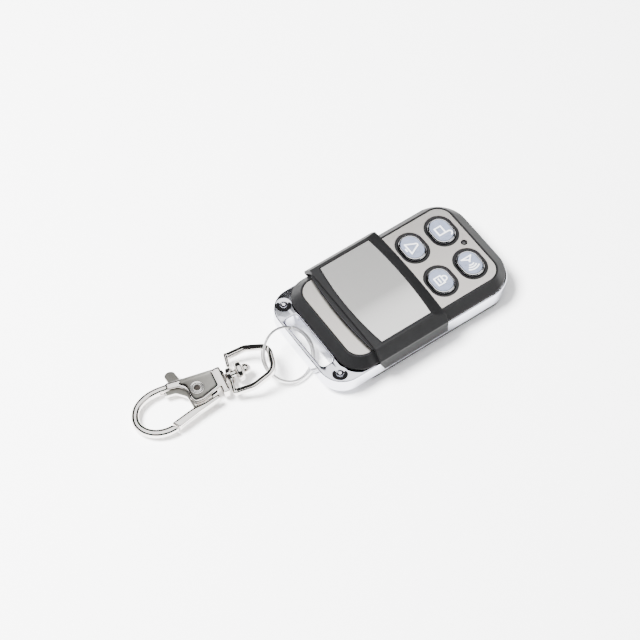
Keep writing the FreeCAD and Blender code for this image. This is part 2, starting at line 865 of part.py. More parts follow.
def build_switch_body(place):
    x, y = place
    half = switch_side / 2
    body = box_between(x - half, x + half, y - half, y + half, board_top, switch_top)
    room_bottom = switch_top - plunger_grip - button_travel - plunger_play
    return body.cut(upright_cylinder(x, y, room_bottom, switch_top, plunger_radius + plunger_play))


def build_switch_plunger(place):
    return upright_cylinder(place[0], place[1], switch_top - plunger_grip, plunger_top, plunger_radius)


def build_led():
    base_bottom = board_top + led_lead_length
    dome_z = plate_bottom - led_radius / 2
    body = upright_cylinder(led_x, 0, base_bottom, dome_z, led_radius)
    body = body.fuse(Part.makeSphere(led_radius, Vector(led_x, 0, dome_z)))
    body = body.fuse(upright_cylinder(led_x, 0, base_bottom, base_bottom + led_base_height, led_base_radius))
    lead_top = base_bottom + led_base_height
    for side in (1, -1):
        lead_y = side * led_lead_spread / 2
        body = body.fuse(upright_cylinder(led_x, lead_y, board_top, lead_top, led_lead_radius))
    return body.removeSplitter()


def build_chip():
    length, width, height = chip_size
    x, y = chip_place
    start = Vector(x - length / 2, y - width / 2, board_top)
    return Part.makeBox(length, width, height, start)


def build_resonator():
    length, width, height = resonator_size
    can = prism(stadium((0, 0), width, length, board_top), height)
    can.rotate(Vector(0, 0, 0), Vector(0, 0, 1), 90)
    can.translate(Vector(resonator_place[0], resonator_place[1], 0))
    return can


def build_trimmer():
    x, y = trimmer_place
    can = upright_cylinder(x, y, board_top, board_top + trimmer_height, trimmer_radius)
    groove = box_between(
        x - trimmer_radius, x + trimmer_radius, y - screw_slot_width / 2, y + screw_slot_width / 2,
        board_top + trimmer_height - screw_slot_depth, board_top + trimmer_height,
    )
    return can.cut(groove)


def build_antenna():
    """Copper strip along the far edge of the circuit board, with a leg at each end."""
    y1 = cavity_y - board_edge_gap - antenna_inset
    x0 = post_places[0][0] + post_radius + 2 * antenna_width
    x1 = cavity_x1 - antenna_end_space
    leg = 2 * antenna_width
    z1 = board_top + antenna_thickness
    strip = box_between(x0, x1, y1 - antenna_width, y1, board_top, z1)
    strip = strip.fuse(box_between(x0, x0 + antenna_width, y1 - leg, y1, board_top, z1))
    return strip.fuse(box_between(x1 - antenna_width, x1, y1 - leg, y1, board_top, z1)).removeSplitter()


def build_case_screws():
    screws = []
    for x, y in post_places:
        head_bottom = screw_seat - screw_head_height
        head = upright_cylinder(x, y, head_bottom, screw_seat, screw_head_radius)
        for angle in (0, 90):
            blade = box_between(
                x - screw_slot_reach, x + screw_slot_reach,
                y - screw_slot_width / 2, y + screw_slot_width / 2,
                head_bottom, head_bottom + screw_slot_depth,
            )
            blade.rotate(Vector(x, y, 0), Vector(0, 0, 1), angle)
            head = head.cut(blade)
        shank = upright_cylinder(x, y, screw_seat, screw_seat + screw_length, screw_shank_radius)
        screws.append(head.fuse(shank).removeSplitter())
    return Part.makeCompound(screws)


def ring_frame():
    """Centre and the three axes of the split ring; the last is the axis of its turns."""
    axis = Vector(ring_lean_x, ring_lean_y, 1).normalize()
    first = Vector(0, 1, 0).cross(axis).normalize()
    return Vector(*ring_centre), first, axis.cross(first), axis


def ring_point(angle, level, place):
    """Point of the wire's middle line and its direction, at an angle on one of the two turns."""
    centre, first, second, axis = place
    turn = math.radians(angle)
    out = first * math.cos(turn) + second * math.sin(turn)
    way = second * math.cos(turn) - first * math.sin(turn)
    return centre + out * ring_radius + axis * (level * (ring_wire + ring_turn_gap)), way


def ring_path():
    """Two flat turns of the wire, joined by a short rise, with straight ends."""
    place = ring_frame()
    start = ring_jog_angle + ring_jog_half_span
    span = 360 - 2 * ring_jog_half_span
    steps = 3
    low = [ring_point(start + span * step / steps, -0.5, place) for step in range(steps + 1)]
    high = [ring_point(start + 360 + span * step / steps, 0.5, place) for step in range(steps + 1)]
    first, first_way = low[0]
    last, last_way = high[-1]
    edges = [Part.LineSegment(first - first_way * ring_end_length, first).toShape()]
    edges += smooth_path(low + high).Edges
    edges.append(Part.LineSegment(last, last + last_way * ring_end_length).toShape())
    return Part.Wire(edges)


def build_split_ring():
    path = ring_path()
    start = path.Edges[0].valueAt(path.Edges[0].FirstParameter)
    way = path.Edges[0].tangentAt(path.Edges[0].FirstParameter)
    section = Part.Wire([Part.makeCircle(ring_wire / 2, start, way)])
    wire = path.makePipeShell([section], True, False)
    expected = math.pi * (ring_wire / 2) ** 2 * path.Length
    spacing = 0.1
    points = path.discretize(Distance=spacing)
    apart = int(ring_radius / spacing)
    least = min(
        (points[i] - points[j]).Length
        for i in range(0, len(points), 2)
        for j in range(i + apart, len(points), 2)
    )
    print("split ring volume", round(wire.Volume, 3), "from its section", round(expected, 3))
    print("split ring least gap to itself", round(least - ring_wire, 3))
    return wire


def build_swivel_bail():
    half = bail_half_width
    wide = half + bail_spread
    path = rounded_polygon([
        (Vector(0, half, 0), 0),
        (Vector(bail_straight, wide, 0), bail_corner_round),
        (Vector(bail_reach, bail_bow_half, 0), bail_corner_round),
        (Vector(bail_reach, -bail_bow_half, 0), bail_corner_round),
        (Vector(bail_straight, -wide, 0), bail_corner_round),
        (Vector(0, -half, 0), 0),
    ], closed=False)
    side = bail_bar_width / 2
    rise = bail_bar_height / 2
    section = rounded_polygon([
        (Vector(0, half - side, -rise), bail_bar_round),
        (Vector(0, half + side, -rise), bail_bar_round),
        (Vector(0, half + side, rise), bail_bar_round),
        (Vector(0, half - side, rise), bail_bar_round),
    ])
    bow = path.makePipeShell([section], True, False)
    base_half = half + bail_base_overhang
    deep = bail_base_thickness / 2
    high = bail_base_height / 2
    base = box_between(-deep, deep, -base_half, base_half, -high, high)
    base = base.makeFillet(bail_bar_round, base.Edges)
    boss_start = Vector(-deep - bail_boss_rise, 0, 0)
    boss_length = bail_base_thickness + bail_boss_rise
    boss = Part.makeCylinder(bail_boss_radius, boss_length, boss_start, Vector(1, 0, 0))
    hole = Part.makeCylinder(bail_hole_radius, boss_length, boss_start, Vector(1, 0, 0))
    body = base.fuse(bow).fuse(boss).cut(hole).removeSplitter()
    return placed(body, clasp_point(bail_on_pin, swivel_side, bail_lift), bail_yaw, bail_pitch)


def clasp_point(x, y, z):
    """Point of the clasp's own frame, in the frame of the whole object."""
    marker = placed(Part.Vertex(x, y, z), clasp_origin, clasp_yaw, clasp_pitch)
    return marker.Point


def clasp_part(shape):
    return placed(shape, clasp_origin, clasp_yaw, clasp_pitch)


def body_plate_points():
    """Outline of the clasp's body about the rivet; +X points to the swivel."""
    return [
        (plate_end, -2.2, 0.5),
        (plate_end, 3.5, 0.6),
        (-2.4, 4.3, 2.0),
        (-7.4, 4.85, 0.4),
        (-7.4, 2.9, 0.4),
        (-4.3, 2.2, 1.2),
        (-2.75, 0.4, 1.0),
        (-2.85, -2.2, 1.0),
        (-2.0, -4.1, 0.6),
        (0.3, -4.15, 0.9),
    ]


def hook_stations():
    """Points and directions of the hook's middle line, from the body round to its tip."""
    stations = [
        (-3.2, 3.35, 172),
        (-8.0, 3.9, 175),
        (-11.5, 3.85, 187),
        (-15.7, 2.3, 213),
        (-17.3, 0.7, 236),
        (-18.3, -1.6, 258),
        (-17.9, -4.6, 296),
        (-15.6, -7.1, 328),
        (-12.1, -8.2, 356),
        (-8.4, -7.75, 17),
    ]
    return [
        (Vector(x, y, 0), Vector(math.cos(math.radians(angle)), math.sin(math.radians(angle)), 0))
        for x, y, angle in stations
    ]


def hook_section(station, width, height, corner):
    """Rounded rectangle across the hook's middle line at one of its stations."""
    place, way = station
    across = Vector(-way.y, way.x, 0)
    up = Vector(0, 0, 1)
    return rounded_polygon([
        (place + across * (a * width / 2) + up * (b * height / 2), corner)
        for a, b in ((-1, -1), (1, -1), (1, 1), (-1, 1))
    ])


def tip_zone(gap):
    """Everything on the gate's side of the slanted joint at the hook's tip."""
    points = [
        (joint_inner[0] + gap, joint_inner[1]), (joint_outer[0] + gap, joint_outer[1]),
        (collar_start, joint_outer[1]), (collar_start, joint_inner[1]),
    ]
    return prism(flat_outline(points, -clasp_thickness), 2 * clasp_thickness)


def build_clasp_body():
    half = clasp_thickness / 2
    plate = prism(flat_outline(body_plate_points(), -half), clasp_thickness)
    plate = plate.makeFillet(clasp_edge_round, edges_at_height(plate, half) + edges_at_height(plate, -half))
    stations = hook_stations()
    root = hook_section(stations[0], hook_root_width, hook_root_height, hook_root_round)
    tip = hook_section(stations[-1], hook_width, hook_height, hook_round)
    hook = smooth_path(stations).makePipeShell([root, tip], True, False)
    hook = hook.cut(tip_zone(0))
    collar = box_between(collar_start, collar_end, collar_low, collar_high, -half, half)
    collar = collar.makeFillet(clasp_edge_round, collar.Edges)
    body = plate.fuse(hook).fuse(collar)
    slit = lever_thickness / 2 + lever_side_gap
    for room in (hook_slit, lever_slit):
        body = body.cut(box_between(*room, -slit, slit))
    recess = flat_outline([
        (recess_end, -1.65, 0.4), (recess_end, 2.85, 0.4), (-2.3, 3.55, 1.5), (-4.2, 3.3, 0.3),
        (-2.4, 1.9, 1.0), (-2.15, -2.2, 0.9), (-1.7, -3.3, 0.4), (0.2, -3.4, 0.6),
    ], half - face_recess)
    body = body.cut(prism(recess, face_recess + spare))
    body = body.cut(upright_cylinder(0, 0, -half - spare, half + spare, rivet_radius + rivet_fit))
    hole_start = Vector(pin_start, swivel_side, 0)
    pin_hole = Part.makeCylinder(pin_radius, collar_end - pin_start, hole_start, Vector(1, 0, 0))
    return clasp_part(body.cut(pin_hole).removeSplitter())


def lever_plate_points():
    """Outline of the lever's flat inner plate with its thumb tab."""
    return [
        (2.9, -3.9, 0.3), (2.9, 1.2, 1.2), (0.9, 2.65, 1.0), (-2.5, 2.55, 0.4),
        (-3.1, 5.0, 0.5), (-3.7, 7.7, 1.0), (-5.2, 8.4, 1.6), (-6.7, 7.5, 1.0),
        (-6.3, 5.1, 0.8), (-6.5, 3.0, 0.4), (-8.5, 2.9, 0.3), (-8.6, 1.6, 0.3),
        (-5.6, 1.2, 0.9), (-3.3, -1.0, 1.0), (-3.0, -4.7, 0.3), (-3.2, -5.6, 0.2),
        (2.6, -5.2, 0.2),
    ]


def gate_bar_points():
    """Outline of the gate from its nose to its tail beside the collar."""
    return [
        (-11.6, -7.3, 0), (-4.5, -5.35, 0.8), (-2.9, -5.0, 0.8), (0.2, -4.9, 1.5), (4.5, -4.05, 0.2),
        (4.5, -5.25, 0.3), (-2.2, -6.95, 2.0), (-8.0, -8.75, 0.4), (-11.6, -9.8, 0),
    ]


def build_gate_lever():
    inner = lever_thickness / 2
    plate = prism(flat_outline(lever_plate_points(), -inner), lever_thickness)
    bar = prism(flat_outline(gate_bar_points(), -gate_height / 2), gate_height)
    bar = bar.common(tip_zone(gate_tip_gap))
    level = edges_at_height(bar, gate_height / 2) + edges_at_height(bar, -gate_height / 2)
    bar = bar.makeFillet(gate_edge_round, level)
    lever = plate.fuse(bar)
    lever = lever.cut(upright_cylinder(0, 0, -inner, inner, rivet_radius + rivet_fit))
    lever = lever.cut(upright_cylinder(0, 0, inner - 2 * spring_wire, inner, spring_pocket_radius))
    return clasp_part(lever.removeSplitter())


def build_gate_rivet():
    half = clasp_thickness / 2
    seat = half - face_recess
    shank = upright_cylinder(0, 0, -half, seat, rivet_radius)
    head = Part.makeCone(rivet_head_radius, rivet_rim_radius, rivet_head_height, Vector(0, 0, seat))
    foot = upright_cylinder(0, 0, -half - rivet_head_height, -half, rivet_head_radius)
    rivet = shank.fuse(head).fuse(foot)
    rivet = rivet.cut(upright_cylinder(0, 0, 0, half + spare, rivet_hole_radius))
    return clasp_part(rivet.removeSplitter())


def build_swivel_pin():
    """Pin fast in the clasp's collar, with a disc and a ball inside the bail."""
    along = Vector(1, 0, 0)
    side = swivel_side
    shank = Part.makeCylinder(pin_radius, pin_disc_start - pin_start, Vector(pin_start, side, 0), along)
    shoulder = Part.makeCylinder(pin_shoulder_radius, pin_shoulder, Vector(collar_end, side, 0), along)
    disc = Part.makeCylinder(pin_disc_radius, pin_disc_thickness, Vector(pin_disc_start, side, 0), along)
    disc = disc.makeChamfer(pin_disc_chamfer, disc.Edges)
    disc_start = Vector(pin_disc_start, side, 0)
    neck = Part.makeCylinder(pin_neck_radius, pin_ball_at - pin_disc_start, disc_start, along)
    ball = Part.makeSphere(pin_ball_radius, Vector(pin_ball_at, side, 0))
    pin = shank.fuse(shoulder).fuse(disc).fuse(neck).fuse(ball)
    return clasp_part(pin.removeSplitter())


def build_gate_spring():
    """Open turn of spring wire round the rivet, in the lever's pocket."""
    level = lever_thickness / 2 - spring_wire
    half_opening = math.radians(spring_opening / 2)
    x = spring_radius * math.cos(half_opening)
    y = spring_radius * math.sin(half_opening)
    turn = Part.Arc(Vector(x, y, level), Vector(-spring_radius, 0, level), Vector(x, -y, level))
    path = Part.Wire([turn.toShape()])
    section = Part.Wire([Part.makeCircle(spring_wire / 2, Vector(x, y, level), Vector(-y, x, 0))])
    return clasp_part(path.makePipeShell([section], True, False))


def main():
    os.makedirs("parts", exist_ok=True)
    nodes = {
        "chrome_frame": build_chrome_frame(),
        "back_cover": build_back_cover(),
        "upper_case": build_upper_case(),
        "faceplate": build_faceplate(),
        "slide_cover": build_slide_cover(),
        "cover_plate": build_cover_plate(),
        "battery": build_battery(),
        "battery_contact_minus": battery_contact(battery_start - contact_gap - contact_thickness),
        "battery_contact_plus": battery_contact(battery_end + contact_gap),
        "circuit_board": build_circuit_board(),
        "indicator_led": build_led(),
        "encoder_chip": build_chip(),
        "saw_resonator": build_resonator(),
        "trimmer_capacitor": build_trimmer(),
        "loop_antenna": build_antenna(),
        "case_screws": build_case_screws(),
        "split_ring": build_split_ring(),
        "swivel_bail": build_swivel_bail(),
        "swivel_pin": build_swivel_pin(),
        "clasp_body": build_clasp_body(),
        "gate_lever": build_gate_lever(),
        "gate_rivet": build_gate_rivet(),
        "gate_spring": build_gate_spring(),
    }
    icons = (open_padlock_icon, bell_icon, horn_icon, closed_padlock_icon)
    for number, (place, icon) in enumerate(zip(button_places, icons), 1):
        nodes["button_cap_%d" % number] = build_button_cap(place)
        nodes["button_face_%d" % number] = build_button_face(place, icon)
        nodes["switch_body_%d" % number] = build_switch_body(place)
        nodes["switch_plunger_%d" % number] = build_switch_plunger(place)
    for name, shape in nodes.items():
        shape.exportStep("parts/%s.step" % name)
    print(len(nodes), "nodes written")


main()
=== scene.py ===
# %% [markdown]
# # A four-button key remote on a split ring and a trigger clasp
# This lesson dresses a measured model of a small radio remote. The measured solids arrive as a frame that
# stays put. Where a solid has the right shape, it is copied, its loose triangles are joined and its edges are
# shaded as the real ones look. Where the real surface is rounder than the solid, it is made again.

# %% The frame
import json
import math
import bmesh
import bpy
import numpy as np
from mathutils import Matrix, Vector


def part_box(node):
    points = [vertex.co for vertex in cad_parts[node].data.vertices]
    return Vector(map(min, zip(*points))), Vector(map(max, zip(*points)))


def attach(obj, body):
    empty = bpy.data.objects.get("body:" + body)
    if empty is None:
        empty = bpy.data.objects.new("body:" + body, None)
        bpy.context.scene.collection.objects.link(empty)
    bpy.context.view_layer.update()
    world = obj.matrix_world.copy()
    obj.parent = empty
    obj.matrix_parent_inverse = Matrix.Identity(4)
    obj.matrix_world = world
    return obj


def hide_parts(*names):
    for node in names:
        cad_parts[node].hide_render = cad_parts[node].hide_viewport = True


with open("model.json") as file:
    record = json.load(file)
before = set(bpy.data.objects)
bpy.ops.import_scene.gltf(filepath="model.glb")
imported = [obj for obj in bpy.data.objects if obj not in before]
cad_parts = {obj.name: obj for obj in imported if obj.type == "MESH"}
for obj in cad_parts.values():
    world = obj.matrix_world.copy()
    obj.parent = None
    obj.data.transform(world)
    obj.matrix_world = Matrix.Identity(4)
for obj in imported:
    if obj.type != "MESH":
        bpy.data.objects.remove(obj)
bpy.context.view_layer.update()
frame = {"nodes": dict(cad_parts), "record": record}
nodes = frame["nodes"]
mm = 0.001


# %% [markdown]
# ## Where the solids belong
# Every new piece rides on the moving body of the solid that it stands for. The bodies are written down once
# in the record, so they are looked up there.

# %% Bodies from the record
home_body = {}
for body, members in frame["record"]["behaviour"]["bodies"].items():
    for node in members:
        home_body[node] = body
print("bodies:", sorted(set(home_body.values())))

# %% [markdown]
# ## Shader sums written as sums
# A finish is a small calculation: a grain pattern times a depth, plus a base value. Written with one node
# call per sign, it is unreadable, so a socket is wrapped in a class that knows the usual signs. Each sign
# adds one Math node. Colours and vectors go through their own nodes, because a Math node makes a colour grey.

# %% Sockets that can be added and multiplied
class Wire:
    """An output socket of a shader tree, which can stand in a sum."""

    def __init__(self, tree, socket):
        self.tree = tree
        self.socket = socket

    def combine(self, operation, *values):
        return self.tree.add("ShaderNodeMath", {"operation": operation}, dict(enumerate(values)))

    def __add__(self, other):
        return self.combine("ADD", self, other)

    def __radd__(self, other):
        return self.combine("ADD", other, self)

    def __sub__(self, other):
        return self.combine("SUBTRACT", self, other)

    def __rsub__(self, other):
        return self.combine("SUBTRACT", other, self)

    def __mul__(self, other):
        return self.combine("MULTIPLY", self, other)

    def __rmul__(self, other):
        return self.combine("MULTIPLY", other, self)

    def __pow__(self, other):
        return self.combine("POWER", self, other)

    def most(self, other):
        return self.combine("MAXIMUM", self, other)

    def step(self, start, end):
        """0 below start and 1 above end, with a smooth rise between them."""
        inputs = {"Value": self, "From Min": start, "From Max": end}
        return self.tree.add("ShaderNodeMapRange", {"interpolation_type": "SMOOTHSTEP"}, inputs)


# %% A tree that nodes are added to
# Which output is taken of the Texture Coordinate node, for a surface and for the world, and of Layer Weight.
object_place, look_direction = 3, 0
slant_output = 1
mm_per_metre = 1000
slant_start, slant_end = 0.3, 0.6


class Tree:
    """A node tree. One method adds any node: its settings first, then its sockets."""

    def __init__(self, tree):
        self.tree = tree
        self.tree.nodes.clear()

    def add(self, kind, settings=None, inputs=None, output=0):
        made = self.tree.nodes.new(kind)
        for key, value in (settings or {}).items():
            setattr(made, key, value)
        for key, value in (inputs or {}).items():
            socket = made.inputs[key]
            if isinstance(value, Wire):
                self.tree.links.new(value.socket, socket)
            elif value is not None:
                socket.default_value = value
        return Wire(self, made.outputs[output]) if len(made.outputs) else None

    def paint(self, factor, first, second):
        """Colour between two colours, by a factor from 0 to 1."""
        settings = {"data_type": "RGBA"}
        return self.add("ShaderNodeMix", settings, {0: factor, 6: colour(first), 7: colour(second)}, output=2)

    def vector(self, operation, first, second=None, output=0):
        inputs = {0: first, 1: second}
        return self.add("ShaderNodeVectorMath", {"operation": operation}, inputs, output)

    def along(self, place, direction, origin=(0, 0, 0)):
        """Distance of a place from an origin, measured along a direction."""
        away = self.vector("SUBTRACT", place, tuple(origin))
        return self.vector("DOT_PRODUCT", away, tuple(direction), output=1)

    def noise(self, place, scale, detail=2.0, roughness=0.5):
        """Cloudy pattern from about 0.2 to 0.8, with so many blobs per unit."""
        inputs = {"Vector": place, "Scale": scale, "Detail": detail, "Roughness": roughness}
        return self.add("ShaderNodeTexNoise", None, inputs)

    def stretch(self, place, scale, turn=(0, 0, 0)):
        """The same place in a turned and stretched pattern space."""
        return self.add("ShaderNodeMapping", None, {"Vector": place, "Rotation": turn, "Scale": scale})

    def from_upright(self, place, centre):
        """Distance of a place from the upright line through a centre."""
        return self.vector("DISTANCE", self.stretch(place, (1, 1, 0)), (*centre, 0.0), 1)

    def split(self, place):
        """The three numbers of a place or a direction."""
        parts = self.tree.nodes.new("ShaderNodeSeparateXYZ")
        self.tree.links.new(place.socket, parts.inputs[0])
        return [Wire(self, socket) for socket in parts.outputs]

    def ray_kinds(self):
        """Two wires: 1 for what the camera sees straight on, and 1 for what a mirror or clear piece shows."""
        path = self.tree.nodes.new("ShaderNodeLightPath")
        kinds = ("Is Camera Ray", "Is Glossy Ray", "Is Transmission Ray")
        seen, glossy, through = (Wire(self, path.outputs[kind]) for kind in kinds)
        return seen, glossy.most(through)


def colour(value):
    """A colour of three numbers with its alpha, or a wire as it is."""
    if isinstance(value, Wire):
        return value
    return (*value, 1.0)


class Finish(Tree):
    """A material of one Principled surface, with Object coordinates in millimetres at hand."""

    def __init__(self, name):
        self.material = bpy.data.materials.new(name)
        self.material.use_nodes = True
        super().__init__(self.material.node_tree)
        metres = self.add("ShaderNodeTexCoord", output=object_place)
        self.place = self.stretch(metres, (mm_per_metre, mm_per_metre, mm_per_metre))
        self.x, self.y, self.z = self.split(self.place)

    def bump(self, height, depth, edge=None):
        """Normal of a fine relief. Depth is how many mm a height of 1 is, edge the radius of soft edges."""
        inputs = {"Height": height, "Distance": depth * mm, "Strength": 1.0}
        if edge is not None:
            inputs["Normal"] = self.add("ShaderNodeBevel", {"samples": 6}, {"Radius": edge * mm})
        return self.add("ShaderNodeBump", None, inputs)

    def surface(self, matte_share=0.0, **sockets):
        """Closes the finish: socket names are written with _ for a space. Where the surface is seen at a
        slant, the given share of it is matte."""
        inputs = {key.replace("_", " "): value for key, value in sockets.items()}
        shader = self.add("ShaderNodeBsdfPrincipled", None, inputs)
        if matte_share:
            matte = self.add("ShaderNodeBsdfPrincipled", None, {**inputs, "Specular IOR Level": 0.0})
            slant = self.add("ShaderNodeLayerWeight", None, {"Blend": 0.5}, output=slant_output)
            share = slant.step(slant_start, slant_end) * matte_share
            shader = self.add("ShaderNodeMixShader", None, {0: share, 1: shader, 2: matte})
        self.add("ShaderNodeOutputMaterial", None, {"Surface": shader})
        return self.material


print("helpers ready")

# %% [markdown]
# ## Joining the loose triangles
# The solids arrive as triangles that share no points, which shade flat. A copy joins the points, keeps an
# edge sharp where two faces meet at more than a given angle, and lets the large flat faces decide the
# shading of what they meet. The solid itself stays as it is and is hidden behind its copy.

# %% Copy of a solid with joined points
finished = {}
same_point = 0.0005
flat_face_pull = 80


def placed(name, data):
    """A new object in the scene."""
    made = bpy.data.objects.new(name, data)
    bpy.context.scene.collection.objects.link(made)
    return made


def keep(mesh, name, node, material):
    """Puts a finished mesh with its finish in the scene for a solid, on its moving body, and hides the solid.
    """
    piece = placed(name, mesh)
    mesh.materials.clear()
    mesh.materials.append(material)
    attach(piece, home_body[node])
    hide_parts(node)
    finished[name] = len(mesh.polygons)
    return piece


def joined(node):
    """Mesh of a solid with its points joined, as a bmesh."""
    mesh = bmesh.new()
    mesh.from_mesh(nodes[node].data)
    bmesh.ops.remove_doubles(mesh, verts=mesh.verts, dist=same_point * mm)
    return mesh


def closed(work, name):
    """The bmesh as an ordinary mesh with a name."""
    mesh = bpy.data.meshes.new(name)
    work.to_mesh(mesh)
    work.free()
    return mesh


def smoothly(mesh):
    """All faces of a mesh shade smoothly."""
    mesh.polygons.foreach_set("use_smooth", np.ones(len(mesh.polygons), bool))


def smooth_copy(node, name, material, sharp=28.0):
    """Copy of a solid that shades smoothly except at edges sharper than an angle in degrees."""
    work = joined(node)
    limit = math.radians(sharp)
    for edge in work.edges:
        edge.smooth = len(edge.link_faces) == 2 and edge.calc_face_angle(0.0) < limit
    mesh = closed(work, name)
    smoothly(mesh)
    piece = keep(mesh, name, node, material)
    weigh = piece.modifiers.new("flat faces decide", "WEIGHTED_NORMAL")
    weigh.keep_sharp = True
    weigh.weight = flat_face_pull


def cast_copy(node, name, material, grain, rounds):
    """Copy of a solid as a casting: rebuilt from cubes of one size, then smoothed until edges are round."""
    helper = placed(name + "_helper", closed(joined(node), name))
    cubes = helper.modifiers.new("cubes", "REMESH")
    cubes.mode = "VOXEL"
    cubes.voxel_size = grain * mm
    rub = helper.modifiers.new("rub", "SMOOTH")
    rub.factor = 0.5
    rub.iterations = rounds
    graph = bpy.context.evaluated_depsgraph_get()
    made = bpy.data.meshes.new_from_object(helper.evaluated_get(graph))
    bpy.data.objects.remove(helper)
    made.name = name
    smoothly(made)
    keep(made, name, node, material)


print("points closer than", same_point, "mm are joined")


# %% [markdown]
# ## Surfaces from numpy
# A bent wire is a small profile carried along a line. Every station of the line has a frame of two
# directions across it, and the profile's points are placed in that frame, all stations at once.

# %% Profile carried along a line
def carried(line, across, profile):
    """Grid of points: line point + profile x times the across direction + profile y times the other one."""
    way = np.gradient(line, axis=0)
    way /= np.linalg.norm(way, axis=1, keepdims=True)
    side = across - way * np.sum(across * way, axis=1, keepdims=True)
    side /= np.linalg.norm(side, axis=1, keepdims=True)
    up = np.cross(way, side)
    return line[:, None] + side[:, None] * profile[None, :, :1] + up[:, None] * profile[None, :, 1:]


def tube_mesh(name, grid):
    """Closed mesh of a grid of rings, each ring joined to the next, with a fan over each end."""
    rings, around, _ = grid.shape
    points = np.vstack([grid.reshape(-1, 3), grid[0].mean(0), grid[-1].mean(0)])
    a, b = np.meshgrid(np.arange(rings - 1), np.arange(around), indexing="ij")
    turn = (b + 1) % around
    quads = np.stack([a * around + b, a * around + turn, (a + 1) * around + turn, (a + 1) * around + b], -1)
    ends = np.arange(around)
    after = (ends + 1) % around
    first = np.stack([np.full(around, rings * around), after, ends], -1)
    last = np.stack([np.full(around, rings * around + 1), ends, after], -1)
    last[:, 1:] += (rings - 1) * around
    mesh = bpy.data.meshes.new(name)
    faces = quads.reshape(-1, 4).tolist() + first.tolist() + last.tolist()
    mesh.from_pydata(points.tolist(), [], faces)
    smoothly(mesh)
    mesh.update()
    return mesh


print("shape helpers ready")

# %% [markdown]
# ## Plated metal
# The frame, the ring and the button rims are plated: a mirror with a faint waviness from the polishing under
# it, and a haze of hair-fine scratches that only changes the roughness. The frame's tongue has a shallow
# round dish in each corner, which is drawn in the relief. The clasp's castings get a wavier finish later on.

# %% Bright plating
dish_depth = 0.3
dish_floor, dish_rim = 0.9, 2.2


def bright_plating(name, tint, wave=0.0002, haze=0.05, edge=0.1, dishes=()):
    """Mirror metal: slow waves and round dishes in the relief, scratches and haze in the roughness."""
    f = Finish(name)
    cloud = f.noise(f.place, 0.35, 3.0)
    scratch = f.noise(f.stretch(f.place, (0.6, 9.0, 0.6), (0.2, 0.4, 0.7)), 3.0, 4.0, 0.7)
    rough = haze + 0.05 * cloud.step(0.45, 0.8) + 0.05 * scratch.step(0.6, 0.8)
    shade = f.paint(cloud.step(0.3, 0.8), tint, tuple(0.93 * value for value in tint))
    relief = f.noise(f.place, 0.25, 1.0) * wave
    for centre in dishes:
        far = f.from_upright(f.place, centre)
        relief = relief - dish_depth * (1 - far.step(dish_floor, dish_rim))
    normal = f.bump(relief, 1.0, edge)
    return f.surface(Base_Color=shade, Metallic=1.0, Roughness=rough, Normal=normal)


corner_dishes = ((-26.3, 13.1), (-26.3, -13.1))
frame_chrome = bright_plating("frame_chrome", (0.86, 0.87, 0.95), 0.00015, edge=0.3, dishes=corner_dishes)
button_chrome = bright_plating("button_chrome", (0.88, 0.89, 0.93), haze=0.08, edge=None)
ring_nickel = bright_plating("ring_nickel", (0.95, 0.94, 0.93), haze=0.34)
print("plated finishes:", frame_chrome.name, button_chrome.name, ring_nickel.name)

# %% [markdown]
# ## Moulded black plastic
# The case halves and the sliding cover come out of spark-textured tools. The texture is a fine satin grain
# that spreads highlights, and handling polishes it a little, which shows as uneven roughness. Seen at a
# slant, a part of such a grain hides behind itself, so the case and the cover are partly matte there.

# %% Satin black
def moulded(name, base, rough, grain=0.006, edge=0.12, level=0.5, matte_share=0.0):
    """Moulded plastic: fine grain in the relief, cloudy wear in colour and roughness."""
    f = Finish(name)
    fine = f.noise(f.place, 9.0, 3.0, 0.6)
    wear = f.noise(f.place, 0.25, 3.0)
    shade = f.paint(wear, tuple(0.85 * value for value in base), tuple(1.15 * value for value in base))
    uneven = rough + 0.08 * wear - 0.04
    normal = f.bump(fine, grain, edge)
    return f.surface(matte_share, Base_Color=shade, Roughness=uneven, Normal=normal, Specular_IOR_Level=level)


case_black = moulded("case_black", (0.009, 0.009, 0.0095), 0.3, edge=0.2, level=0.4, matte_share=0.65)
back_black = moulded("back_black", (0.012, 0.012, 0.0125), 0.45, grain=0.012)
print("black finishes:", case_black.name, back_black.name)

# %% [markdown]
# ## Satin metal plates
# The faceplate and the cover's plate are thin aluminium, blasted and anodised a warm grey: tiny pits all
# over, a hint of rolling lines, and a slight crown that makes the light run from dark to bright across them.

# %% Warm grey aluminium
def satin_plate(name, tint, crown, centre):
    """Satin metal: pits and lines in the relief, which falls away on the near side of a centre with the
    square of the distance, and sparkle in the colour."""
    f = Finish(name)
    pits = f.noise(f.place, 7.0, 2.0, 0.7)
    lines = f.noise(f.stretch(f.place, (1.0, 14.0, 1.0)), 1.2, 3.0, 0.6)
    sparkle = f.noise(f.place, 5.0, 1.0)
    dull, pale = (tuple(share * value for value in tint) for share in (0.9, 1.08))
    shade = f.paint(sparkle * 0.6 + lines * 0.4, dull, pale)
    away = (0 - f.along(f.place, (0, 1, 0), centre)).most(0) * 0.01
    relief = pits * 0.004 + lines * 0.003 - away * away * crown
    normal = f.bump(relief, 1.0, 0.06)
    return f.surface(Base_Color=shade, Metallic=1.0, Roughness=0.28 + 0.08 * pits, Normal=normal)


plate_grey = satin_plate("plate_grey", (0.93, 0.885, 0.84), 8.0, (0, 20, 0))
cover_grey = satin_plate("cover_grey", (0.86, 0.85, 0.83), 110.0, (0, -2, 0))
print("satin finishes:", plate_grey.name, cover_grey.name)

# %% [markdown]
# ## The remote's outside
# The frame, the case, the cover and the plates have the right shape, so they are smooth copies.

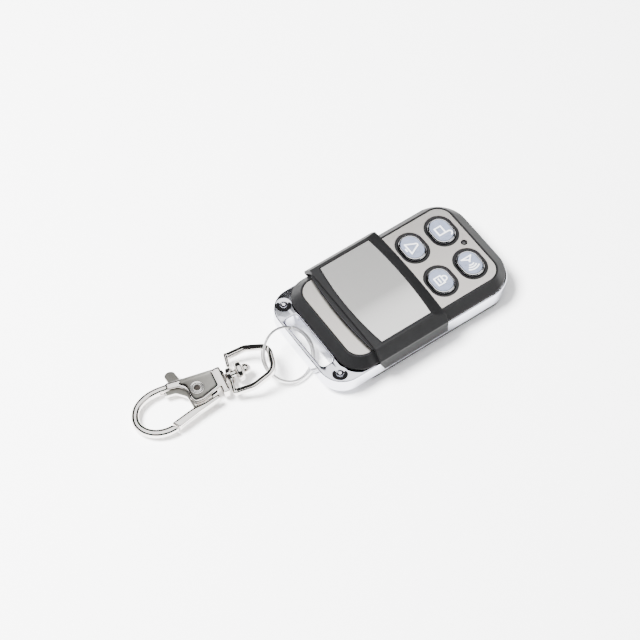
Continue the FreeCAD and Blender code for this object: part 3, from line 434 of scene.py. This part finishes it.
# %% Frame, case, cover and plates
for node, material in (
    ("chrome_frame", frame_chrome),
    ("back_cover", back_black),
    ("upper_case", case_black),
    ("slide_cover", case_black),
    ("faceplate", plate_grey),
    ("cover_plate", cover_grey),
):
    smooth_copy(node, node + "_finished", material)
print("outside:", finished)

# %% [markdown]
# ## Buttons
# Each button is a chromed cap with an inlay of blue-grey plastic. The cap's rim is rounded like a casting.
# The raised marks of the inlay are painted near white, a painted highlight for the light their tops catch, so
# its colour follows its height.

# %% Inlay with raised marks
mark_depth = 0.08
mark_blend = 0.02


def inlay(mark_height):
    """Blue-grey plastic whose raised marks, above one height, are painted near white as a highlight."""
    f = Finish("button_inlay")
    cloud = f.noise(f.place, 0.8, 3.0)
    ground = f.paint(cloud, (0.14, 0.16, 0.225), (0.22, 0.25, 0.34))
    # Painted highlight: above one height the raised marks turn near white.
    raised_highlight = f.z.step(mark_height - mark_blend, mark_height + mark_blend)
    shade = f.paint(raised_highlight, ground, (0.85, 0.87, 0.9))
    fine = f.noise(f.place, 10.0, 2.0)
    return f.surface(
        Base_Color=shade, Roughness=0.22 + 0.12 * cloud, Normal=f.bump(fine, 0.003, 0.06), Coat_Weight=0.3
    )


face_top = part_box("button_face_1")[1].z / mm
inlay_finish = inlay(face_top - mark_depth)
for number in (1, 2, 3, 4):
    cast_copy(f"button_cap_{number}", f"button_rim_{number}", button_chrome, 0.07, 5)
    smooth_copy(f"button_face_{number}", f"button_inlay_{number}", inlay_finish)
print("marks end at", round(face_top, 3), "mm")

# %% [markdown]
# ## Light
# The indicator is a small lens of clear resin over a dark well. The lens is drawn as near black resin with a
# glossy coat: its colour is painted shade, standing for the shaded well seen through it.

# %% Indicator lens
def lens_with_painted_shade():
    """Near black resin, a painted shade of the well under the lens, with a slightly uneven, glossy skin."""
    f = Finish("lens_with_painted_shade")
    cloud = f.noise(f.place, 2.0, 2.0)
    # Painted shade: the clear lens is coloured near black for the well seen through it.
    shade = f.paint(cloud, (0.012, 0.012, 0.013), (0.03, 0.03, 0.03))
    rough = 0.05 + 0.1 * cloud
    return f.surface(Base_Color=shade, Roughness=rough, Normal=f.bump(cloud, 0.003), Coat_Weight=0.6)


smooth_copy("indicator_led", "indicator_lens", lens_with_painted_shade(), 40.0)
print("lens faces:", finished["indicator_lens"])

# %% [markdown]
# ## Split ring
# A split ring is spring wire wound twice round, with the two turns side by side and one short crossing. Its
# line is a circle whose level along the axis rises smoothly by one turn's spacing over the crossing.

# %% Wire of the split ring
ring_middle = np.array([-33.487, 0.597, 5.11])
ring_axis = np.array([0.1459, -0.7014, 1.0])
ring_radius = 7.3
wire_radius = 0.35
turn_spacing = 1.12
crossing_angle = 102.0
crossing_half = 45.0


def ring_line(count=560):
    """Middle + radius * (first cos + second sin) + axis * level, over two turns less the crossing's width.
    The level rises from one turn to the other over the crossing, as a smooth step."""
    axis = ring_axis / np.linalg.norm(ring_axis)
    first = np.cross([0, 1, 0], axis)
    first /= np.linalg.norm(first)
    second = np.cross(axis, first)
    begin = crossing_angle + crossing_half
    angle = np.linspace(begin, begin + 720 - 2 * crossing_half, count)
    rise = np.clip((angle - (crossing_angle + 360 - crossing_half)) / (2 * crossing_half), 0, 1)
    level = (rise * rise * (3 - 2 * rise) - 0.5) * turn_spacing
    turn = np.radians(angle)[:, None]
    out = first * np.cos(turn) + second * np.sin(turn)
    line = ring_middle + ring_radius * out + axis * level[:, None]
    return line * mm, np.broadcast_to(axis, line.shape)


def round_profile(radius, count=20):
    """Circle of points, as the section of a wire."""
    turn = np.linspace(0, 2 * np.pi, count, endpoint=False)
    return np.stack([np.cos(turn), np.sin(turn)], 1) * radius * mm


line, across = ring_line()
ring_mesh = tube_mesh("split_ring_wire", carried(line, across, round_profile(wire_radius)))
keep(ring_mesh, "split_ring_wire", "split_ring", ring_nickel)
wire_length = float(np.linalg.norm(np.diff(line, axis=0), axis=1).sum())
print("ring wire length in mm:", round(wire_length / mm, 2))

# %% [markdown]
# ## Clasp
# The clasp, its gate and the bail are zinc castings, tumbled before plating, so no edge on them is sharp.
# They are rebuilt from small cubes and rubbed down, which rounds every edge the way tumbling does. The
# polish reaches the high faces only. The sunk faces of the clasp and of the gate's tab stay dull, and their
# colour is painted dark, a painted shade in the recess that is darker towards the hook. The finish finds them
# by their height over the rivet, measured along the clasp's own leaning directions.

# %% Nickel plated casting with a brushed recess in painted shade
clasp_origin = np.array([-58.54, 6.36, 2.75])
clasp_along = np.array([0.98028, -0.19055, 0.05234])
clasp_side = np.array([0.19081, 0.98163, 0.0])
clasp_up = np.array([-0.05137, 0.00999, 0.99863])
blend = 0.1
floor_blend = 0.06
rim_blend = 0.03


def clasp_places(f):
    """How far along the clasp, to its side and over it a place is, from the rivet's middle."""
    return [f.along(f.place, way, clasp_origin) for way in (clasp_along, clasp_side, clasp_up)]


def cast_nickel(name, sunk=None):
    """Polished casting. Sunk gives the lowest and highest level of the dull faces, whose colour is painted
    dark as shade, the two ends of their stretch along the clasp, and how far aside the recess is open, so
    that no rim ends it."""
    f = Finish(name)
    cloud = f.noise(f.place, 0.5, 3.0)
    wavy = f.noise(f.place, 1.1, 2.0)
    bright = f.paint(cloud, (0.80, 0.765, 0.735), (0.88, 0.85, 0.82))
    rough = 0.06 + 0.05 * cloud.step(0.45, 0.8)
    relief = wavy * 0.002
    if sunk is not None:
        low, high, start, end, open_from = sunk
        along, aside, up = clasp_places(f)
        open_side = aside.step(open_from - blend, open_from + blend)
        rim = up.step(high - rim_blend, high + rim_blend) * (1 - open_side)
        mask = up.step(low - floor_blend, low) * (1 - rim)
        mask = mask * along.step(start - blend, start + blend) * (1 - along.step(end - blend, end + blend))
        lines = f.noise(f.stretch(f.place, (2.5, 2.5, 2.5), (0, 0, 0.2)), 2.5, 4.0, 0.7)
        # Painted shade: the dull faces are coloured dark, darker towards the hook, over real brushed lines.
        brushed_with_painted_shade = f.paint(along.step(-3.0, 5.0) * 0.5 + lines * 0.5, (0.12, 0.115, 0.1), (0.5, 0.49, 0.46))
        bright = f.paint(mask, bright, brushed_with_painted_shade)
        rough = rough + mask * 0.22
        relief = relief + mask * lines * 0.02
    return f.surface(Base_Color=bright, Metallic=1.0, Roughness=rough, Normal=f.bump(relief, 1.0))


clasp_nickel = cast_nickel("clasp_nickel", (1.3, 1.45, -3.6, 5.2, 2.7))
gate_nickel = cast_nickel("gate_nickel", (0.55, 0.75, -8.0, -2.4, 30.0))
link_nickel = cast_nickel("link_nickel")
print("cast finishes:", clasp_nickel.name, gate_nickel.name, link_nickel.name)

# %% Castings
for node, material, grain, rounds in (
    ("clasp_body", clasp_nickel, 0.09, 50),
    ("gate_lever", gate_nickel, 0.08, 60),
    ("swivel_bail", link_nickel, 0.09, 24),
):
    cast_copy(node, node + "_cast", material, grain, rounds)
print("pieces so far:", finished)

# %% [markdown]
# ## Turned pieces
# The rivet and the swivel's pin are turned parts. Each is a profile of radius and height whose corners are
# rounded, spun round an axis. The rivet is hollow at its visible end, and its rolled lip stands up in two
# rings. The hole's colour is painted near black, a painted shade inside it.

# %% Profiles spun round an axis
largest_share = 0.45


def rounded(corners, radius, count=6):
    """Each corner becomes the curve (1-t)^2 a + 2t(1-t) corner + t^2 b, where a and b lie on its two legs."""
    corners = np.array(corners, float)
    before, middle, after = corners[:-2], corners[1:-1], corners[2:]
    back_leg, on_leg = before - middle, after - middle
    share_back, share_on = (
        np.minimum(radius / np.linalg.norm(leg, axis=1), largest_share)[:, None] for leg in (back_leg, on_leg)
    )
    a, b = middle + back_leg * share_back, middle + on_leg * share_on
    t = np.linspace(0, 1, count)[None, :, None]
    curve = (1 - t) ** 2 * a[:, None] + 2 * t * (1 - t) * middle[:, None] + t ** 2 * b[:, None]
    return np.vstack([corners[:1], curve.reshape(-1, 2), corners[-1:]])


def spun(name, profile, origin, axis, first, around=72):
    """Grid of points: origin + axis * height + radius * (first cos + second sin), closed at both ends."""
    second = np.cross(axis, first)
    turn = np.linspace(0, 2 * np.pi, around, endpoint=False)[None, :, None]
    out = first * np.cos(turn) + second * np.sin(turn)
    grid = origin + profile[:, None, 1:] * axis + profile[:, None, :1] * out
    return tube_mesh(name, grid * mm)


rivet_profile = rounded([
    (0.03, -1.85), (2.0, -1.85), (2.0, -1.6), (1.2, -1.6), (1.2, 1.36), (1.98, 1.36), (1.98, 1.52),
    (1.78, 1.60), (1.5, 1.46), (1.36, 1.48), (1.2, 1.62), (0.98, 1.62), (0.85, 1.45), (0.82, 0.95),
    (0.03, 0.95),
], 0.09)
pin_profile = rounded([
    (0.03, 4.3), (0.9, 4.3), (0.9, 7.7), (2.2, 7.7), (2.2, 8.0), (0.9, 8.0), (0.9, 11.2), (2.4, 11.2),
    (2.8, 11.6), (2.8, 12.7), (2.4, 13.1), (1.2, 13.1), (1.2, 13.2), (1.5, 13.35), (1.6, 13.9),
    (1.4, 14.65), (0.8, 15.3), (0.03, 15.5),
], 0.35)
pin_offset = 0.548
hole_inside, hole_edge = 0.8, 0.95


def hollow_nickel():
    """Polished rim with painted shade in its hole: the colour darkens to near black inside one radius."""
    f = Finish("hollow_nickel")
    along, aside, up = clasp_places(f)
    far = (along * along + aside * aside) ** 0.5
    # Painted shade: inside the hole the colour goes near black, less metal and rougher.
    hole_shade = (1 - far.step(hole_inside, hole_edge)) * up.step(0, 0.5)
    cloud = f.noise(f.place, 1.5, 3.0)
    shade = f.paint(cloud, (0.80, 0.78, 0.76), (0.90, 0.88, 0.86))
    shade = f.paint(hole_shade, shade, (0.02, 0.016, 0.014))
    rough = 0.08 + 0.06 * cloud + 0.4 * hole_shade
    metal = 1.0 - 0.9 * hole_shade
    return f.surface(Base_Color=shade, Metallic=metal, Roughness=rough, Normal=f.bump(cloud, 0.003))


rivet_mesh = spun("gate_rivet_turned", rivet_profile, clasp_origin, clasp_up, clasp_along)
keep(rivet_mesh, "gate_rivet_turned", "gate_rivet", hollow_nickel())
pin_origin = clasp_origin + clasp_side * pin_offset
pin_mesh = spun("swivel_pin_turned", pin_profile, pin_origin, clasp_along, clasp_side)
keep(pin_mesh, "swivel_pin_turned", "swivel_pin", link_nickel)
print("turned:", len(rivet_mesh.polygons), len(pin_mesh.polygons))

# %% [markdown]
# ## Inside the case
# The inner parts show only when the case is taken apart, yet each gets the finish it has in real life: a
# printed sleeve on the cell, tracks and pads on the board, a brushed can, white ceramic, tarnished copper.

# %% Finishes of the inner parts
sleeve_start = 0.5
sleeve_stop = 2.0
band_start = 8.0
tinned_depth = 0.3


def edges_of(node):
    """Low and high corner of a solid, in millimetres."""
    return [np.array(corner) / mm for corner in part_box(node)]


def sleeve():
    """Shrink sleeve with a gold band near the plus end, and bare steel at both ends of the cell."""
    f = Finish("cell_sleeve")
    low, high = edges_of("battery")
    minus_end, plus_end = low[0] + sleeve_start, high[0] - sleeve_stop
    wrapped = f.x.step(minus_end - blend, minus_end) * (1 - f.x.step(plus_end - blend, plus_end))
    band = f.x.step(high[0] - band_start - blend, high[0] - band_start)
    scuff = f.noise(f.stretch(f.place, (0.4, 3.0, 3.0)), 2.0, 4.0, 0.6)
    wrap = f.paint(band, (0.02, 0.03, 0.09), (0.45, 0.3, 0.08))
    wrap = f.paint(scuff.step(0.55, 0.8) * 0.4, wrap, (0.4, 0.4, 0.42))
    shade = f.paint(wrapped, (0.62, 0.62, 0.64), wrap)
    rough = 0.25 + 0.2 * scuff
    normal = f.bump(scuff, 0.02, 0.1)
    return f.surface(Base_Color=shade, Metallic=1.0 - wrapped, Roughness=rough, Normal=normal)


def solder_mask():
    """Green lacquer over copper tracks that run in lanes, with tinned pads spread between them."""
    f = Finish("solder_mask")
    sizes = {"Vector": f.place, "Scale": 1.0, "Mortar Size": 0.09, "Brick Width": 3.4, "Row Height": 0.85}
    track = f.add("ShaderNodeTexBrick", None, sizes, output=1)
    spots = f.add("ShaderNodeTexVoronoi", None, {"Vector": f.place, "Scale": 0.5, "Randomness": 0.7})
    pad = 1 - spots.step(0.26, 0.3)
    cloud = f.noise(f.place, 0.6, 3.0)
    green = f.paint(cloud, (0.006, 0.07, 0.025), (0.01, 0.10, 0.04))
    shade = f.paint(track, green, (0.03, 0.2, 0.07))
    shade = f.paint(pad, shade, (0.62, 0.62, 0.6))
    relief = track * 0.5 + pad
    rough = 0.22 + 0.15 * cloud
    return f.surface(Base_Color=shade, Metallic=pad, Roughness=rough, Normal=f.bump(relief, 0.03, 0.05))


def epoxy():
    """Black moulding compound with a sparkle of filler and a small round dimple at its first corner."""
    f = Finish("chip_epoxy")
    low, high = edges_of("encoder_chip")
    corner = (float(low[0]) + 0.9, float(low[1]) + 0.8, float(high[2]))
    dimple = 1 - f.vector("DISTANCE", f.place, corner, 1).step(0.35, 0.45)
    grain = f.noise(f.place, 12.0, 3.0, 0.7)
    shade = f.paint(grain.step(0.5, 0.75), (0.012, 0.012, 0.013), (0.05, 0.05, 0.052))
    rough = 0.5 + 0.2 * grain - 0.3 * dimple
    return f.surface(Base_Color=shade, Roughness=rough, Normal=f.bump(grain * 0.3 - dimple, 0.05, 0.06))


def brushed(name, dull, pale, direction=(1.0, 16.0, 16.0), tarnish=0.3):
    """Brushed or drawn metal: long fine lines in one direction, with cloudy tarnish over them."""
    f = Finish(name)
    lines = f.noise(f.stretch(f.place, direction), 1.2, 4.0, 0.7)
    cloud = f.noise(f.place, 0.7, 4.0)
    shade = f.paint(lines * (1 - tarnish) + cloud * tarnish, dull, pale)
    rough = 0.18 + 0.2 * lines + 0.15 * cloud
    return f.surface(Base_Color=shade, Metallic=1.0, Roughness=rough, Normal=f.bump(lines, 0.01, 0.06))


def ceramic():
    """White ceramic base, cloudy in tone, with a metal rotor inside it."""
    f = Finish("trimmer_ceramic")
    low, high = edges_of("trimmer_capacitor")
    middle, width = ((low + high) / 2).tolist(), float(high[0] - low[0])
    rotor = 1 - f.from_upright(f.place, middle[:2]).step(0.30 * width, 0.32 * width)
    cloud = f.noise(f.place, 1.5, 4.0)
    white = f.paint(cloud, (0.75, 0.74, 0.7), (0.85, 0.85, 0.83))
    shade = f.paint(rotor, white, (0.66, 0.62, 0.5))
    rough = 0.3 + 0.2 * cloud
    return f.surface(Base_Color=shade, Metallic=rotor, Roughness=rough, Normal=f.bump(cloud, 0.01, 0.08))


def switch_shell():
    """Black phenolic body under a thin tinned cover, which is stamped and scratched."""
    f = Finish("switch_shell")
    top = edges_of("switch_body_1")[1][2]
    cover = f.z.step(top - tinned_depth - 0.02, top - tinned_depth)
    scratch = f.noise(f.stretch(f.place, (1.0, 8.0, 8.0), (0, 0, 0.6)), 2.0, 4.0, 0.7)
    shade = f.paint(cover, (0.015, 0.015, 0.016), (0.66, 0.66, 0.65))
    rough = 0.45 - 0.2 * cover + 0.15 * scratch
    return f.surface(Base_Color=shade, Metallic=cover, Roughness=rough, Normal=f.bump(scratch, 0.01, 0.1))


print("finishes of the inner parts are described")

# %% Inner parts
strip = brushed("contact_strip", (0.5, 0.49, 0.46), (0.78, 0.77, 0.74), (16.0, 16.0, 1.0))
shell = switch_shell()
plunger = moulded("plunger_brown", (0.05, 0.028, 0.018), 0.35, grain=0.01)
for node, material in (
    ("battery", sleeve()),
    ("battery_contact_minus", strip),
    ("battery_contact_plus", strip),
    ("circuit_board", solder_mask()),
    ("encoder_chip", epoxy()),
    ("saw_resonator", brushed("resonator_tin", (0.5, 0.5, 0.5), (0.75, 0.75, 0.76))),
    ("trimmer_capacitor", ceramic()),
    ("loop_antenna", brushed("antenna_copper", (0.45, 0.2, 0.1), (0.85, 0.48, 0.3), tarnish=0.6)),
    ("case_screws", brushed("screw_steel", (0.3, 0.3, 0.31), (0.62, 0.62, 0.63), (6.0, 6.0, 6.0))),
    ("gate_spring", brushed("spring_steel", (0.35, 0.34, 0.32), (0.6, 0.59, 0.57), (5.0, 5.0, 12.0))),
):
    smooth_copy(node, node + "_finished", material)
for number in (1, 2, 3, 4):
    smooth_copy(f"switch_body_{number}", f"switch_shell_{number}", shell)
    smooth_copy(f"switch_plunger_{number}", f"switch_plunger_top_{number}", plunger)
print("pieces in all:", len(finished), "faces in all:", sum(finished.values()))

# %% [markdown]
# ## Studio
# The camera stands where the photograph's edges place it. There is a plain white table, one large soft lamp
# high over the ring's side, and an even surround that lights everything and is white to the camera. Metal
# and gloss see something else in its place: a bright ceiling and one bright panel in a dark room. That
# contrast is what makes plating look like plating. A panel's edge is written as the look direction's share
# along an axis, from where it begins to where it is full.

# %% Camera
turn, lift = math.radians(-34.96), math.radians(57.36)
camera_distance = 0.627
film_width = 36.0
photo_pixels = 640
focal_pixels = 2320
back = Vector((math.sin(turn) * math.cos(lift), -math.cos(turn) * math.cos(lift), math.sin(lift)))
right = Vector((math.cos(turn), math.sin(turn), 0))
up = back.cross(right)
aim = Vector((-18.4827, 7.2923, 0)) * mm
camera_data = bpy.data.cameras.new("camera")
camera_data.sensor_width = film_width
camera_data.lens = film_width * focal_pixels / photo_pixels
camera_data.clip_start = 0.01
camera = placed("camera", camera_data)
facing = Matrix((right, up, back)).transposed().to_4x4()
camera.matrix_world = Matrix.Translation(aim + back * camera_distance) @ facing
bpy.context.scene.camera = camera
print("camera at", [round(value, 4) for value in camera.matrix_world.translation])

# %% Table
table_reach = 3.0
white_to_mirrors = 1.12
white_to_camera = 1.38


def grey(level):
    return (level, level, level)


def table_finish():
    """White paper with a very faint fibre pattern, brighter to mirrors and to the camera than as a light."""
    f = Finish("white_table")
    fibre = f.noise(f.place, 0.5, 4.0)
    seen, mirrored = f.ray_kinds()
    plain = f.paint(fibre, grey(0.86), grey(0.88))
    shade = f.paint(mirrored, plain, grey(white_to_mirrors))
    shade = f.paint(seen, shade, grey(white_to_camera))
    shader = f.add("ShaderNodeBsdfDiffuse", None, {"Color": shade})
    f.add("ShaderNodeOutputMaterial", None, {"Surface": shader})
    return f.material


table = bpy.data.meshes.new("table")
corners = [(x * table_reach, y * table_reach, 0) for x, y in ((-1, -1), (1, -1), (1, 1), (-1, 1))]
table.from_pydata(corners, [], [(0, 1, 2, 3)])
table.materials.append(table_finish())
floor = placed("table", table)
print("table", 2 * table_reach, "m wide")

# %% Surround
fill = 0.85
dark_room = 0.03
ceiling_light = 2.5
ceiling_edge = (0.8405, 0.8445)
front_light = 1.1
front_near_edge = (0.38, 0.5)
front_left_edge = (0.14, 0.26)
front_low_edge = (0.12, 0.22)
world = bpy.data.worlds.new("studio")
bpy.context.scene.world = world
world.use_nodes = True
w = Tree(world.node_tree)
look_x, look_y, look_z = w.split(w.add("ShaderNodeTexCoord", output=look_direction))
ceiling = look_z.step(*ceiling_edge)
front = (0 - look_y).step(*front_near_edge) * look_x.step(*front_left_edge) * look_z.step(*front_low_edge)
panels = dark_room + ceiling_light * ceiling + front_light * front
from_camera, from_gloss = w.ray_kinds()
strength = fill + from_gloss * (panels - fill)
strength = strength + from_camera * (1.0 - strength)
shader = w.add("ShaderNodeBackground", None, {"Color": (1, 1, 1, 1), "Strength": strength})
w.add("ShaderNodeOutputWorld", None, {"Surface": shader})
print("surround", fill, "ceiling", ceiling_light, "panel", front_light)

# %% Lamp
lamp_data = bpy.data.lights.new("soft_box", "AREA")
lamp_data.shape = "DISK"
lamp_data.size = 0.3
lamp_data.energy = 26.0
lamp = placed("soft_box", lamp_data)
lamp_from = Vector((-0.28, 0.16, 0.63))
lamp.location = lamp_from + aim
lamp.rotation_mode = "QUATERNION"
lamp.rotation_quaternion = lamp_from.to_track_quat("Z", "Y")
lamp.visible_glossy = False
print("lamp", lamp_data.energy, "W")
